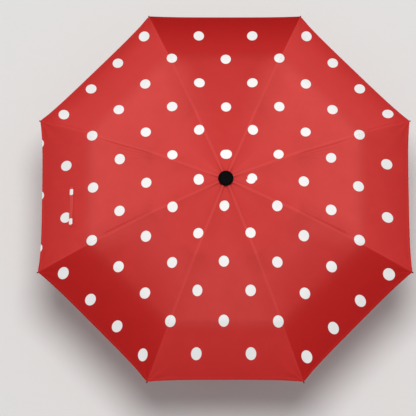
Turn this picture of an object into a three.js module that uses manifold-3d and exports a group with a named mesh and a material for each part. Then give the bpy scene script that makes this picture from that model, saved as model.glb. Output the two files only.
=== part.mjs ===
// Compact three-fold umbrella, stored open: eight folding ribs, eight cloth panels,
// three telescoping shaft tubes and a straight handle. Millimetres, +Z up the shaft,
// origin on the shaft's axis at the lower end of the handle.
import * as THREE from 'three';
import { mergeVertices } from 'three/addons/utils/BufferGeometryUtils.js';
import Module from 'manifold-3d';

const wasm = await Module();
wasm.setup();

// ---------- overall sizes ----------
const ribCount = 8;
const tipRadius = 450; // shaft axis to rib tip, open
const canopyRise = 197; // rib tips up to the crown's rib pivots
const tipHeight = 295; // rib tips above the handle's lower end
const handleLength = 65;

// ---------- shaft ----------
const runningGap = 0.3;
const tubeWall = 0.6;
const upperTubeRadius = 5.5;
const middleTubeRadius = upperTubeRadius - tubeWall - runningGap;
const lowerTubeRadius = middleTubeRadius - tubeWall - runningGap;
const upperTubeLength = 190;
const middleTubeLength = 155;
const upperOverlap = 37.8; // middle tube inside the upper tube when pulled out
const lowerOverlap = 15; // lower tube inside the middle tube when pulled out
const tubeSeat = 10; // lower tube's foot above the handle's lower end

// ---------- runner and handle ----------
const collarWall = 4.2;
const collarRadius = upperTubeRadius + runningGap + collarWall;
const collarDrop = 18; // stretcher pivots down to the collar's lower end
const runnerDrop = 65.3; // crown pivots down to the runner's pivots
const cupDepth = 15;
const cupGap = 1.8;
const cupWall = 2.7;
const cupRadius = collarRadius + cupGap;
const handleRadius = cupRadius + cupWall;
const waistLow = 23;
const waistHigh = 39;

// ---------- rib set ----------
const innerKneeRadius = 170.1;
const innerKneeHeight = 161; // above the rib tips
const outerKneeRadius = 315;
const outerKneeHeight = 92;
const ribWall = 0.6;
const eyeRadius = 1.5;
const cheekRadius = 1.8;
const stretcherWidth = 2;
const stretcherHalf = 1;
const stretcherEye = 1.4;
const stretcherOffset = 1; // stretcher pivot below the inner rib's centre line
const stretcherAlong = 78; // crown pivot to stretcher pivot
const nestGap = 0.4;
const innerRibWidth = stretcherWidth + 2 * nestGap + 2 * ribWall;
const innerRibTop = 1.6;
const innerRibFoot = 1.8;
const eyeThick = innerRibWidth - 2 * ribWall - 2 * runningGap;
const middleRibWidth = 3.2;
const middleRibHalf = 1.5;
const outerRodRadius = 1.3;
const tipWall = 0.3;
const runnerPivotRadius = collarRadius + 2;
const crownPivotRadius = runnerPivotRadius + stretcherOffset;
// knee pivots sit off the ribs' centre lines, so that a folded stretcher passes under the eye
const kneeOffset = eyeRadius + 0.5 + stretcherHalf - stretcherOffset;

// ---------- cloth and trim ----------
const clothRide = kneeOffset + cheekRadius + nestGap; // cloth's underside above the ribs' centre lines
const clothThick = 0.9;
const clothHole = 8;
const seamGap = 0.2;
const studRadius = 4;
const capRadius = 17;
const strapWidth = 11;
const strapLength = 99;
const strapThick = 1.2;
const strapInset = 76; // hem to the strap's centre line, seen from above
const strapShift = -34;

const crownZ = tipHeight + canopyRise;
const halfSector = Math.PI / ribCount;

const group = new THREE.Group();
group.name = 'umbrella';

// ---------- helpers ----------
function solidOf(geometry) {
  const g = geometry.clone();
  g.deleteAttribute('normal');
  g.deleteAttribute('uv');
  const m = mergeVertices(g, 1e-5);
  const mesh = new wasm.Mesh({
    numProp: 3,
    vertProperties: Float32Array.from(m.attributes.position.array),
    triVerts: Uint32Array.from(m.index.array),
  });
  return new wasm.Manifold(mesh);
}

function geometryOf(solid) {
  const mesh = solid.getMesh();
  const g = new THREE.BufferGeometry();
  g.setAttribute('position', new THREE.BufferAttribute(Float32Array.from(mesh.vertProperties), 3));
  g.setIndex(Array.from(mesh.triVerts));
  const flat = g.toNonIndexed();
  flat.computeVertexNormals();
  return flat;
}

function joined(geometries) {
  return geometries.map(solidOf).reduce((a, b) => a.add(b));
}

function plate(points, low, high) {
  const shape = new THREE.Shape(points.map(([x, y]) => new THREE.Vector2(x, y)));
  const g = new THREE.ExtrudeGeometry(shape, { depth: high - low, bevelEnabled: false });
  g.translate(0, 0, low);
  return g;
}

function rect(x0, y0, x1, y1, low, high) {
  return plate([[x0, y0], [x1, y0], [x1, y1], [x0, y1]], low, high);
}

function disc(x, y, radius, low, high, segments = 20) {
  const g = new THREE.CylinderGeometry(radius, radius, high - low, segments);
  g.rotateX(Math.PI / 2);
  g.translate(x, y, (low + high) / 2);
  return g;
}

function turned(points, segments = 40) {
  const g = new THREE.LatheGeometry(points.map(([r, z]) => new THREE.Vector2(r, z)), segments);
  g.rotateX(Math.PI / 2);
  return g;
}

function ring(inner, outer, low, high, segments = 40) {
  return turned([[inner, low], [outer, low], [outer, high], [inner, high], [inner, low]], segments);
}

// a piece drawn in the upright plane of a rib: X outwards, Y up, Z across the rib
function inRibPlane(geometry, azimuth, point = [0, 0], turn = 0) {
  geometry.rotateZ(turn);
  geometry.translate(point[0], point[1], 0);
  geometry.rotateX(Math.PI / 2);
  geometry.rotateZ(azimuth);
  return geometry;
}

function add(name, geometry, color, roughness, metalness) {
  const material = new THREE.MeshStandardMaterial({ color, roughness, metalness });
  const mesh = new THREE.Mesh(geometry, material);
  mesh.name = name;
  group.add(mesh);
}

const black = 0x161616;
const steel = 0xb9bcc0;
const ribPaint = 0x24262a;
const red = 0xc4302c;

// ---------- the rib's lines in its own plane ----------
const crownPoint = [crownPivotRadius, crownZ];
const innerKnee = [innerKneeRadius, tipHeight + innerKneeHeight];
const outerKnee = [outerKneeRadius, tipHeight + outerKneeHeight];
const tipPoint = [tipRadius, tipHeight];

function lineOf(from, to) {
  const dx = to[0] - from[0];
  const dy = to[1] - from[1];
  const length = Math.hypot(dx, dy);
  return { from, to, length, turn: Math.atan2(dy, dx) };
}

const innerLine = lineOf(crownPoint, innerKnee);
const middleLine = lineOf(innerKnee, outerKnee);
const outerLine = lineOf(outerKnee, tipPoint);

// foot of a knee pivot along each of the two lines that meet there
const innerKneeShift = kneeOffset * Math.tan((innerLine.turn - middleLine.turn) / 2);
const outerKneeShift = kneeOffset * Math.tan((middleLine.turn - outerLine.turn) / 2);

const eyeHalf = eyeThick / 2;
const kneeCheekInner = innerRibWidth / 2 - ribWall;

// Inner rib: a steel channel open below, an eye on the crown's wire, two cheeks at the knee
function innerRib() {
  const end = innerLine.length + innerKneeShift;
  const half = innerRibWidth / 2;
  const from = 7;
  const parts = [
    rect(from, innerRibTop - ribWall, end - 2.8, innerRibTop, -half, half),
    rect(from, -1.2, from + 3, innerRibTop, -kneeCheekInner - 0.3, kneeCheekInner + 0.3),
    rect(0, -1.1, from + 1.5, 1.1, -eyeHalf, eyeHalf),
    disc(0, 0, eyeRadius, -eyeHalf, eyeHalf),
  ];
  for (const side of [-1, 1]) {
    const low = side > 0 ? kneeCheekInner : -half;
    const high = side > 0 ? half : -kneeCheekInner;
    parts.push(rect(from, -innerRibFoot, end, innerRibTop, low, high));
    parts.push(disc(end, kneeOffset, cheekRadius, low, high));
  }
  return geometryOf(joined(parts));
}

// Middle rib: a narrower channel with an eye at the inner knee and cheeks at the outer knee
function middleRib() {
  const start = -innerKneeShift;
  const end = middleLine.length - outerKneeShift;
  const half = middleRibWidth / 2;
  const cheek = half - ribWall;
  const web = end - 3.2;
  const parts = [
    rect(start + 3.2, middleRibHalf - ribWall, web, middleRibHalf, -half, half),
    rect(start + 3.2, -middleRibHalf, start + 7, middleRibHalf, -half, half),
    disc(start, kneeOffset, eyeRadius, -eyeHalf, eyeHalf),
    plate(
      [
        [start - 1.2, kneeOffset - 0.9],
        [start + 1.2, -0.2],
        [start + 4.5, -0.8],
        [start + 4.5, 1.1],
        [start + 2.4, 1.3],
        [start + 0.9, kneeOffset + 1.2],
      ],
      -eyeHalf,
      eyeHalf,
    ),
  ];
  for (const side of [-1, 1]) {
    const low = side > 0 ? cheek : -half;
    const high = side > 0 ? half : -cheek;
    parts.push(rect(start + 4, -middleRibHalf, end, middleRibHalf, low, high));
    parts.push(disc(end, -kneeOffset, cheekRadius, low, high));
  }
  return geometryOf(joined(parts));
}

// Outer rib: a sprung round rod with a flattened eye at the outer knee
function outerRib() {
  const start = outerKneeShift;
  const rodEnd = outerLine.length - 5;
  const rod = new THREE.CylinderGeometry(outerRodRadius, outerRodRadius, rodEnd - start - 4, 16);
  rod.rotateZ(Math.PI / 2);
  rod.translate((rodEnd + start + 4) / 2, 0, 0);
  const thin = middleRibWidth / 2 - ribWall - runningGap;
  const neck = plate(
    [
      [start - 1.2, -kneeOffset + 0.8],
      [start + 0.9, -kneeOffset - 1.1],
      [start + 5, -0.9],
      [start + 9, -0.9],
      [start + 9, 0.9],
      [start + 4.2, 0.9],
    ],
    -thin,
    thin,
  );
  return geometryOf(joined([rod, neck, disc(start, -kneeOffset, eyeRadius, -thin, thin)]));
}

// Rib tip: a moulded sleeve closed at its outer end, pushed over the rod
function ribTip() {
  const mouth = outerLine.length - 11;
  const seat = outerLine.length - 4.6;
  const bore = outerRodRadius + runningGap;
  const skin = bore + tipWall;
  const g = new THREE.LatheGeometry(
    [
      [bore, mouth],
      [skin, mouth],
      [skin, seat + 4.6],
      [skin - 0.4, seat + 6],
      [skin - 1.1, seat + 6.6],
      [0, seat + 6.8],
      [0, seat],
      [bore, seat],
      [bore, mouth],
    ].map(([r, y]) => new THREE.Vector2(r, y)),
    18,
  );
  g.rotateZ(-Math.PI / 2);
  return g;
}

// Stretcher: a bar with an eye at each end, from the inner rib down to the runner
function stretcher() {
  const half = stretcherWidth / 2;
  return geometryOf(
    joined([
      rect(0, -stretcherHalf, stretcherLength, stretcherHalf, -half, half),
      disc(0, 0, stretcherEye, -half, half),
      disc(stretcherLength, 0, stretcherEye, -half, half),
    ]),
  );
}

// where the stretcher starts on the inner rib, and where the runner holds its other end
const cosInner = Math.cos(innerLine.turn);
const sinInner = Math.sin(innerLine.turn);
const stretcherTop = [
  crownPoint[0] + stretcherAlong * cosInner + stretcherOffset * sinInner,
  crownPoint[1] + stretcherAlong * sinInner - stretcherOffset * cosInner,
];
const reach = stretcherTop[0] - runnerPivotRadius;
const runnerZ = crownZ - runnerDrop;
const stretcherLength = Math.hypot(reach, stretcherTop[1] - runnerZ);
const stretcherTurn = Math.atan2(runnerZ - stretcherTop[1], runnerPivotRadius - stretcherTop[0]);

// Cloth panel: one gore between two ribs, bent where the ribs bend, open at the crown
function clothProfile(offset) {
  const mid = (innerLine.turn + middleLine.turn) / 2;
  const low = (middleLine.turn + outerLine.turn) / 2;
  const first = offset / Math.cos((innerLine.turn - middleLine.turn) / 2);
  const second = offset / Math.cos((middleLine.turn - outerLine.turn) / 2);
  const slope = Math.tan(innerLine.turn);
  const back = outerLine.length - 3.5;
  const tip = [
    outerKnee[0] + back * Math.cos(outerLine.turn),
    outerKnee[1] + back * Math.sin(outerLine.turn),
  ];
  const startZ = crownPoint[1] + offset / cosInner - (crownPoint[0] - clothHole) * slope;
  return [
    [clothHole, startZ],
    [innerKnee[0] - first * Math.sin(mid), innerKnee[1] + first * Math.cos(mid)],
    [outerKnee[0] - second * Math.sin(low), outerKnee[1] + second * Math.cos(low)],
    [tip[0] - offset * Math.sin(outerLine.turn), tip[1] + offset * Math.cos(outerLine.turn)],
  ];
}

function canopyPanel() {
  const toFlat = ([r, z]) => [r * Math.cos(halfSector), z];
  const under = clothProfile(clothRide).map(toFlat);
  const over = clothProfile(clothRide + clothThick).map(toFlat).reverse();
  const reachOut = tipRadius;
  const strip = plate([...under, ...over], -reachOut, reachOut);
  const n0 = 2;
  const n1 = tipRadius + 50;
  const gap = seamGap / Math.cos(halfSector);
  const w0 = n0 * Math.tan(halfSector) - gap;
  const w1 = n1 * Math.tan(halfSector) - gap;
  const wedge = plate([[n0, -w0], [n1, -w1], [n1, w1], [n0, w0]], 0, crownZ + 200);
  wedge.rotateX(-Math.PI / 2);
  return geometryOf(solidOf(strip).intersect(solidOf(wedge)));
}

// Tie strap: a flat band lying on the cloth beside the hem of one panel
function tieStrap() {
  const outer = clothProfile(clothRide + clothThick).map(([r, z]) => [r * Math.cos(halfSector), z]);
  const from = outer[2];
  const to = outer[3];
  const slope = Math.atan2(to[1] - from[1], to[0] - from[0]);
  const n = tipRadius * Math.cos(halfSector) - strapInset;
  const z = from[1] + (n - from[0]) * Math.tan(slope);
  const g = new THREE.BoxGeometry(strapWidth, strapThick, strapLength);
  g.translate(0, strapThick / 2 + runningGap, strapShift);
  g.rotateZ(slope);
  g.translate(n, z, 0);
  return inRibPlane(g, Math.PI);
}

// Crown: a slotted moulding on top of the upper tube; its stud carries the cap
function crown() {
  const rim = crownPivotRadius + 2;
  const top = crownZ + clothRide - 1;
  const base = crownZ - 5;
  let solid = solidOf(
    turned([
      [0, crownZ + 1.6],
      [upperTubeRadius + runningGap, crownZ + 1.6],
      [upperTubeRadius + runningGap, base],
      [rim - 1.5, base],
      [rim, base + 1],
      [rim, top - 1.2],
      [rim - 2, top],
      [studRadius, top + 0.4],
      [studRadius, top + 5.8],
      [0, top + 5.8],
    ]),
  );
  for (let k = 0; k < ribCount; k += 1) {
    const slot = rect(crownPivotRadius - 2.2, base - 1, rim + 1, top + 1, -eyeHalf - 0.4, eyeHalf + 0.4);
    solid = solid.subtract(solidOf(inRibPlane(slot, ribAzimuth(k))));
  }
  return geometryOf(solid);
}

// Cap: a low black dome that covers the hole where the panels meet
function topCap() {
  const slope = -Math.tan(innerLine.turn);
  const under = crownZ + (clothRide + clothThick) / cosInner + 0.5;
  const atRim = under - (capRadius - crownPivotRadius) * slope;
  const bore = studRadius + nestGap;
  const atHole = under + (crownPivotRadius - bore) * slope;
  const floor = crownZ + clothRide + 5.2;
  return turned([
    [0, floor],
    [bore, floor],
    [bore, atHole],
    [capRadius - 1, atRim],
    [capRadius, atRim + 1],
    [capRadius, atRim + 2.4],
    [capRadius - 0.6, atRim + 3.6],
    [capRadius - 2.4, atRim + 5],
    [capRadius - 6.8, atRim + 7.4],
    [capRadius - 11.9, atRim + 8.3],
    [0, atRim + 8.6],
    [0, floor],
  ]);
}

// Runner: the sliding collar that drives the stretchers, with a pocket for its catch
const runnerDisc = runnerPivotRadius + 3;
const collarBottom = runnerZ - collarDrop;
const pocketFloor = upperTubeRadius + runningGap + 1.2;
const catchHalf = 2.2;
const catchLow = collarBottom + 4;
const catchHigh = collarBottom + 12;

function runner() {
  const bore = upperTubeRadius + runningGap;
  let solid = solidOf(
    turned([
      [bore, collarBottom],
      [collarRadius - 0.8, collarBottom],
      [collarRadius, collarBottom + 0.8],
      [collarRadius, runnerZ - 4],
      [runnerDisc - 1, runnerZ - 4],
      [runnerDisc, runnerZ - 3],
      [runnerDisc, runnerZ + 3.4],
      [runnerDisc - 1, runnerZ + 4.4],
      [bore, runnerZ + 4.4],
      [bore, collarBottom],
    ]),
  );
  const slotHalf = stretcherWidth / 2 + runningGap;
  for (let k = 0; k < ribCount; k += 1) {
    const slot = rect(collarRadius, runnerZ - 5, runnerDisc + 1, runnerZ + 6, -slotHalf, slotHalf);
    solid = solid.subtract(solidOf(inRibPlane(slot, ribAzimuth(k))));
  }
  const pocketHalf = catchHalf + 0.35;
  const pocketOut = collarRadius + 4;
  const pocket = rect(pocketFloor, catchLow - 0.35, pocketOut, catchHigh + 0.35, -pocketHalf, pocketHalf);
  return geometryOf(solid.subtract(solidOf(inRibPlane(pocket, 0))));
}

// Catch button: pressed in to free the runner from the shaft
function catchButton() {
  const inner = pocketFloor + 1.3;
  const outer = collarRadius + 1.2;
  const g = plate(
    [
      [inner, catchLow],
      [outer - 0.8, catchLow],
      [outer, catchLow + 1],
      [outer, catchHigh - 1],
      [outer - 0.8, catchHigh],
      [inner, catchHigh],
    ],
    -catchHalf,
    catchHalf,
  );
  return inRibPlane(g, 0);
}

function ribAzimuth(k) {
  return halfSector + (k * 2 * Math.PI) / ribCount;
}

// Handle: a straight moulded grip with a cup at its top that takes the runner's collar
const cupFloor = handleLength - cupDepth;

function handleGrip() {
  const seat = lowerTubeRadius + runningGap;
  const r = handleRadius;
  return turned([
    [8.3, 2.8],
    [r - 2.2, 2.8],
    [r - 0.9, 3.6],
    [r - 0.4, 5],
    [r - 1.6, waistLow],
    [r - 1.6, waistHigh],
    [r - 0.6, handleLength - 12],
    [r, handleLength - 8],
    [r, handleLength - 1.2],
    [r - 1, handleLength],
    [cupRadius, handleLength],
    [cupRadius, cupFloor],
    [seat, cupFloor],
    [seat, tubeSeat - runningGap],
    [0, tubeSeat - runningGap],
    [0, 8.4],
    [8.3, 8.4],
    [8.3, 2.8],
  ]);
}

function handleEnd() {
  return turned([
    [0, 0],
    [handleRadius - 3, 0],
    [handleRadius - 2, 0.8],
    [handleRadius - 2, 2.5],
    [8, 2.5],
    [8, 8],
    [0, 8],
  ]);
}

// ---------- shaft tubes: the lower tube sits in the handle, each next one slides over it ----------
const upperTubeTop = crownZ + 1.2;
const upperBottom = upperTubeTop - upperTubeLength;
const middleTop = upperBottom + upperOverlap;
const middleBottom = middleTop - middleTubeLength;
const lowerTop = middleBottom + lowerOverlap;

add('handle_grip', handleGrip(), black, 0.55, 0);
add('handle_end', handleEnd(), black, 0.4, 0);

const lowerTube = ring(lowerTubeRadius - tubeWall, lowerTubeRadius, tubeSeat, lowerTop);
add('lower_tube', lowerTube, steel, 0.3, 0.9);

const middleTube = ring(middleTubeRadius - tubeWall, middleTubeRadius, middleBottom, middleTop);
add('middle_tube', middleTube, steel, 0.3, 0.9);

const upperTube = ring(upperTubeRadius - tubeWall, upperTubeRadius, upperBottom, upperTubeTop);
add('upper_tube', upperTube, steel, 0.3, 0.9);

add('crown', crown(), black, 0.5, 0);
add('top_cap', topCap(), black, 0.35, 0);
add('runner', runner(), black, 0.5, 0);
add('runner_catch', catchButton(), 0x2a2a2c, 0.45, 0);

for (let k = 0; k < ribCount; k += 1) {
  const a = ribAzimuth(k);
  const n = k + 1;
  const inner = inRibPlane(innerRib(), a, crownPoint, innerLine.turn);
  add(`inner_rib_${n}`, inner, ribPaint, 0.45, 0.7);
  const middle = inRibPlane(middleRib(), a, innerKnee, middleLine.turn);
  add(`middle_rib_${n}`, middle, ribPaint, 0.45, 0.7);
  const outer = inRibPlane(outerRib(), a, outerKnee, outerLine.turn);
  add(`outer_rib_${n}`, outer, ribPaint, 0.45, 0.7);
  const tip = inRibPlane(ribTip(), a, outerKnee, outerLine.turn);
  add(`rib_tip_${n}`, tip, black, 0.4, 0);
  const bar = inRibPlane(stretcher(), a, stretcherTop, stretcherTurn);
  add(`stretcher_${n}`, bar, ribPaint, 0.45, 0.7);
}

for (let k = 0; k < ribCount; k += 1) {
  const panel = inRibPlane(canopyPanel(), ribAzimuth(k) + halfSector);
  add(`canopy_panel_${k + 1}`, panel, red, 0.85, 0);
}

add('tie_strap', tieStrap(), red, 0.8, 0);

export default group;
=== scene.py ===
import bpy
import math
import numpy as np
from mathutils import Matrix, Vector


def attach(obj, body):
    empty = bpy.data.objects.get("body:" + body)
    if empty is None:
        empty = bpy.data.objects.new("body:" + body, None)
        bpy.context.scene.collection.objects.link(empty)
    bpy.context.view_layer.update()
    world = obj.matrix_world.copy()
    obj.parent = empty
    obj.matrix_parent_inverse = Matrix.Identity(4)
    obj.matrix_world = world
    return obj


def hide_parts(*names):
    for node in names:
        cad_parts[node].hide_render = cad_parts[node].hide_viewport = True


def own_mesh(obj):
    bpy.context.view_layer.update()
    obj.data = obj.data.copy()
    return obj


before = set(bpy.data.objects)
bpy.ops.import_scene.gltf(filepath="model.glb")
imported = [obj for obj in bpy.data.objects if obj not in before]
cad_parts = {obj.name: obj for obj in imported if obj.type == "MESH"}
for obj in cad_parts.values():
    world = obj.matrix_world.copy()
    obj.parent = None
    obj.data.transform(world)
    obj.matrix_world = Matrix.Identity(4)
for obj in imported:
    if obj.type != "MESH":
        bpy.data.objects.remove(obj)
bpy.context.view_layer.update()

# ---------------------------------------------------------------------------
# Overhead view. The open umbrella is looked at from almost straight above, a
# little from the handle-side edge, with a long lens.
overhead = bpy.data.cameras.new("overhead")
overhead.sensor_width = 36.0
overhead.lens = 173.08
overhead.clip_end = 60.0
overhead_stand = bpy.data.objects.new("overhead", overhead)
overhead_stand.location = (-0.038, -0.847, 4.679)
overhead_stand.rotation_euler = (math.radians(10.6), 0.0, 0.0)
bpy.context.collection.objects.link(overhead_stand)
bpy.context.scene.camera = overhead_stand

# ---------------------------------------------------------------------------
# Shaft. Three thin-wall steel tubes, drawn and plated, that slide into each
# other. Each outer tube's lower mouth is rolled in over a black nylon bush,
# and each inner tube has a pressed dimple ring that stops it pulling out.
TUBE_WALL = 0.0006
TUBES = {
    "lower_tube": (0.0037, 0.0100, 0.2010, "handle"),
    "middle_tube": (0.0046, 0.1860, 0.3410, "middle_tube"),
    "upper_tube": (0.0055, 0.3032, 0.4932, "upper_tube"),
}


def piece_from(name, verts, faces, material, smooth_angle=40.0):
    mesh = bpy.data.meshes.new(name)
    mesh.from_pydata([tuple(v) for v in verts], [], [tuple(f) for f in faces])
    mesh.update()
    for polygon in mesh.polygons:
        polygon.use_smooth = True
    mesh.set_sharp_from_angle(angle=math.radians(smooth_angle))
    mesh.materials.append(material)
    piece = bpy.data.objects.new(name, mesh)
    bpy.context.collection.objects.link(piece)
    return piece


def lathe(profile, segments=64, closed=True):
    """Vertices and faces of a profile of (radius, height) turned round the shaft."""
    verts, faces = [], []
    rows = []
    for radius, height in profile:
        if radius < 1e-7:
            rows.append([len(verts)] * segments)
            verts.append((0.0, 0.0, height))
            continue
        row = []
        for i in range(segments):
            a = 2 * math.pi * i / segments
            row.append(len(verts))
            verts.append((radius * math.cos(a), radius * math.sin(a), height))
        rows.append(row)
    pairs = list(zip(rows, rows[1:]))
    if closed:
        pairs.append((rows[-1], rows[0]))
    for low, high in pairs:
        for i in range(segments):
            j = (i + 1) % segments
            corners = []
            for v in (low[i], low[j], high[j], high[i]):
                if v not in corners:
                    corners.append(v)
            if len(corners) > 2:
                faces.append(corners)
    return verts, faces


def material_named(name, colour, roughness, metallic=0.0):
    material = bpy.data.materials.new(name)
    material.use_nodes = True
    shader = material.node_tree.nodes["Principled BSDF"]
    shader.inputs["Base Color"].default_value = (*colour, 1.0)
    shader.inputs["Roughness"].default_value = roughness
    shader.inputs["Metallic"].default_value = metallic
    return material, material.node_tree, shader


def node(tree, kind, **values):
    made = tree.nodes.new(kind)
    for key, value in values.items():
        setattr(made, key, value)
    return made


def noise(tree, vector, scale, detail=3.0, roughness=0.5):
    made = node(tree, "ShaderNodeTexNoise")
    made.inputs["Scale"].default_value = scale
    made.inputs["Detail"].default_value = detail
    made.inputs["Roughness"].default_value = roughness
    tree.links.new(vector, made.inputs["Vector"])
    return made.outputs["Fac"]


def spread(tree, source, low, high, from_low=0.3, from_high=0.7):
    made = node(tree, "ShaderNodeMapRange")
    made.inputs["From Min"].default_value = from_low
    made.inputs["From Max"].default_value = from_high
    made.inputs["To Min"].default_value = low
    made.inputs["To Max"].default_value = high
    tree.links.new(source, made.inputs["Value"])
    return made.outputs["Result"]


def bumped(tree, shader, height, strength, distance):
    made = node(tree, "ShaderNodeBump")
    made.inputs["Strength"].default_value = strength
    made.inputs["Distance"].default_value = distance
    tree.links.new(height, made.inputs["Height"])
    tree.links.new(made.outputs["Normal"], shader.inputs["Normal"])


def two_tone(tree, shader, factor, first, second):
    ramp = node(tree, "ShaderNodeValToRGB")
    ramp.color_ramp.elements[0].color = (*first, 1.0)
    ramp.color_ramp.elements[1].color = (*second, 1.0)
    tree.links.new(factor, ramp.inputs["Fac"])
    tree.links.new(ramp.outputs["Color"], shader.inputs["Base Color"])


def place(tree):
    return node(tree, "ShaderNodeTexCoord").outputs["Object"]


# plated steel: fine lines drawn along the tube, faint wear from sliding
plated, tree, shader = material_named("plated_steel", (0.62, 0.63, 0.65), 0.24, 1.0)
stretched = node(tree, "ShaderNodeMapping")
stretched.inputs["Scale"].default_value = (1.0, 1.0, 0.02)
tree.links.new(place(tree), stretched.inputs["Vector"])
drawn = noise(tree, stretched.outputs["Vector"], 2600.0, 2.0)
worn = noise(tree, place(tree), 90.0, 4.0, 0.6)
two_tone(tree, shader, worn, (0.50, 0.51, 0.53), (0.72, 0.73, 0.75))
tree.links.new(spread(tree, drawn, 0.20, 0.36), shader.inputs["Roughness"])
bumped(tree, shader, drawn, 0.06, 0.0001)

# black nylon: fine moulded stipple, slightly duller in patches
nylon, tree, shader = material_named("black_nylon", (0.012, 0.012, 0.013), 0.5)
shader.inputs["Specular IOR Level"].default_value = 0.42
stipple = noise(tree, place(tree), 2400.0, 2.0, 0.6)
handled = noise(tree, place(tree), 60.0, 3.0)
two_tone(tree, shader, handled, (0.009, 0.009, 0.010), (0.020, 0.020, 0.021))
tree.links.new(spread(tree, handled, 0.42, 0.60), shader.inputs["Roughness"])
bumped(tree, shader, stipple, 0.12, 0.0001)

for name, (radius, low, high, body) in TUBES.items():
    inner = radius - TUBE_WALL
    profile = [
        (inner, low + 0.0004),
        (inner + 0.0002, low),
        (radius - 0.0003, low),
        (radius, low + 0.0008),
        (radius, low + 0.0060),
        (radius - 0.0002, low + 0.0066),
        (radius - 0.0002, low + 0.0076),
        (radius, low + 0.0082),
        (radius, high - 0.0110),
        (radius - 0.0003, high - 0.0104),
        (radius - 0.0003, high - 0.0088),
        (radius, high - 0.0082),
        (radius, high - 0.0006),
        (radius - 0.0003, high),
        (inner + 0.0002, high),
        (inner, high - 0.0004),
    ]
    tube = piece_from(name + "_shell", *lathe(profile, 72), plated, 60.0)
    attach(tube, body)
    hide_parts(name)

# the two nylon bushes in the mouths of the outer tubes
for name, outer, bore, low, body in (
    ("middle_bush", 0.0046, 0.0039, 0.1853, "middle_tube"),
    ("upper_bush", 0.0055, 0.0048, 0.3025, "upper_tube"),
):
    profile = [
        (bore, low),
        (outer - 0.0004, low),
        (outer, low + 0.0004),
        (outer, low + 0.0040),
        (outer - 0.0003, low + 0.0046),
        (bore + 0.0002, low + 0.0046),
    ]
    bush = piece_from(name, *lathe(profile, 64), nylon)
    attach(bush, body)

# ---------------------------------------------------------------------------
# Handle. A straight grip moulded in black plastic, waisted for the fingers,
# with shallow rings at the waist and a cup at the top for the runner's collar.
# The end plug is a separate moulding, pressed into the bottom.
GRIP_RADIUS = 0.0145
GRIP_TOP = 0.065
CUP_RADIUS = 0.0118
CUP_FLOOR = 0.050

matt, tree, shader = material_named("soft_black_plastic", (0.014, 0.014, 0.015), 0.6)
shader.inputs["Specular IOR Level"].default_value = 0.38
grain = noise(tree, place(tree), 1500.0, 3.0, 0.65)
rubbed = noise(tree, place(tree), 45.0, 4.0, 0.55)
two_tone(tree, shader, rubbed, (0.010, 0.010, 0.011), (0.024, 0.024, 0.025))
tree.links.new(spread(tree, rubbed, 0.50, 0.70), shader.inputs["Roughness"])
bumped(tree, shader, grain, 0.22, 0.00012)

side = []
for i in range(97):
    z = 0.0050 + (0.0530 - 0.0050) * i / 96
    waist = 0.0012 * math.sin(math.pi * min(1.0, max(0.0, (z - 0.005) / 0.048))) ** 2
    ring = 0.0
    if 0.0130 < z < 0.0460:
        ring = 0.00035 * max(0.0, math.cos((z - 0.0295) / 0.0055 * 2 * math.pi)) ** 2
    side.append((GRIP_RADIUS - 0.0006 - waist - ring, z))
profile = (
    [(0.0083, 0.0028), (GRIP_RADIUS - 0.0024, 0.0028), (GRIP_RADIUS - 0.0012, 0.0034)]
    + side
    + [
        (GRIP_RADIUS - 0.0001, 0.0552),
        (GRIP_RADIUS, 0.0570),
        (GRIP_RADIUS, GRIP_TOP - 0.0016),
        (GRIP_RADIUS - 0.0003, GRIP_TOP - 0.0006),
        (GRIP_RADIUS - 0.0010, GRIP_TOP),
        (CUP_RADIUS + 0.0006, GRIP_TOP),
        (CUP_RADIUS, GRIP_TOP - 0.0006),
        (CUP_RADIUS, CUP_FLOOR + 0.0008),
        (CUP_RADIUS - 0.0008, CUP_FLOOR),
        (0.0046, CUP_FLOOR),
        (0.0040, CUP_FLOOR - 0.0006),
        (0.0040, 0.0097),
        (0.0, 0.0097),
        (0.0, 0.0084),
        (0.0083, 0.0084),
    ]
)
grip = piece_from("grip", *lathe(profile, 96), matt, 35.0)
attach(grip, "handle")
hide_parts("handle_grip")

plug_profile = [
    (0.0, 0.0006),
    (0.0030, 0.0006),
    (0.0034, 0.0),
    (0.0112, 0.0),
    (0.0121, 0.0005),
    (0.0125, 0.0014),
    (0.0125, 0.0025),
    (0.0080, 0.0025),
    (0.0080, 0.0076),
    (0.0076, 0.0080),
    (0.0, 0.0080),
]
plug = piece_from("grip_plug", *lathe(plug_profile, 80, closed=False), nylon, 35.0)
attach(plug, "handle")
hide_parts("handle_end")

# ---------------------------------------------------------------------------
# Crown and runner. Slotted black nylon mouldings; the ribs' and stretchers'
# eyes hang in the slots on a ring of steel wire. The catch is a sprung button
# in the runner's collar.
CROWN_Z = 0.492
RUNNER_Z = CROWN_Z - 0.0653
CROWN_RING = 0.013
RUNNER_RING = 0.012


def wire_ring(name, radius, height, wire, body):
    verts, faces = [], []
    around, section = 96, 10
    for i in range(around):
        a = 2 * math.pi * i / around
        for j in range(section):
            b = 2 * math.pi * j / section
            r = radius + wire * math.cos(b)
            verts.append((r * math.cos(a), r * math.sin(a), height + wire * math.sin(b)))
    for i in range(around):
        for j in range(section):
            p, q = (i + 1) % around, (j + 1) % section
            faces.append((i * section + j, p * section + j, p * section + q, i * section + q))
    ring = piece_from(name, verts, faces, plated)
    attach(ring, body)
    return ring


for name in ("crown", "runner"):
    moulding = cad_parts[name]
    moulding.data.materials.clear()
    moulding.data.materials.append(nylon)
wire_ring("crown_wire", CROWN_RING, CROWN_Z, 0.00045, "upper_tube")
wire_ring("runner_wire", RUNNER_RING, RUNNER_Z, 0.00045, "runner")

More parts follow.
